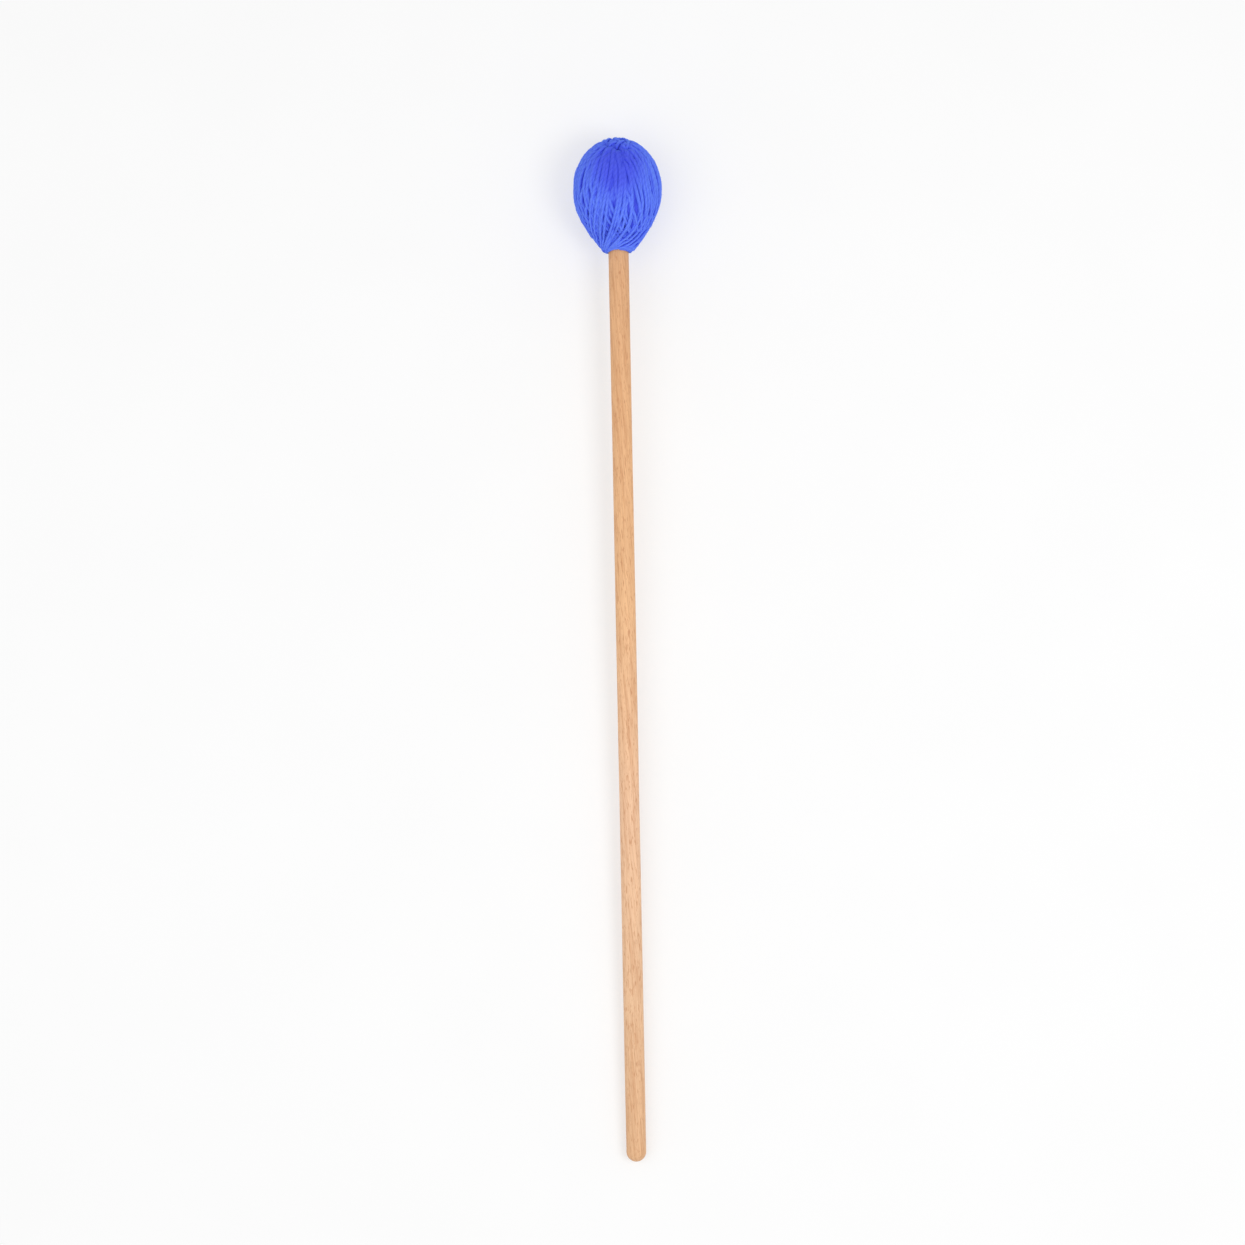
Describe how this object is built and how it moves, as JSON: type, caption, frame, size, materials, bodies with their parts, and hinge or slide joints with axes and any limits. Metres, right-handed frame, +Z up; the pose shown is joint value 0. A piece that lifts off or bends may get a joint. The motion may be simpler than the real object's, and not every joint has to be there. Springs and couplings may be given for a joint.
{
  "type": "marimba mallet",
  "caption": "Long round wooden shaft with a yarn-wound, near-spherical head on one end, used to strike the bars of a marimba.",
  "frame": {"origin": "on the ground, centred under the lying mallet", "axes": "+Z up; +X from the butt of the shaft towards the head; the mallet lies on its head and its butt"},
  "size_m": [0.4098, 0.0344, 0.0355],
  "materials": {
    "beech": "fine sanded beech dowel, matt to satin",
    "core_rubber": "moulded rubber, dull",
    "glue": "cured wood glue",
    "yarn_inner": "packed blue yarn under the outer winding",
    "yarn": "blue plied yarn, soft and matt"
  },
  "bodies": {
    "root": {"shaft": "beech", "core": "core_rubber", "glue_film": "glue", "yarn_underlayer": "yarn_inner", "yarn_winding": "yarn", "neck_wrap": "yarn", "crown_stitch": "yarn"}
  },
  "joints": []
}
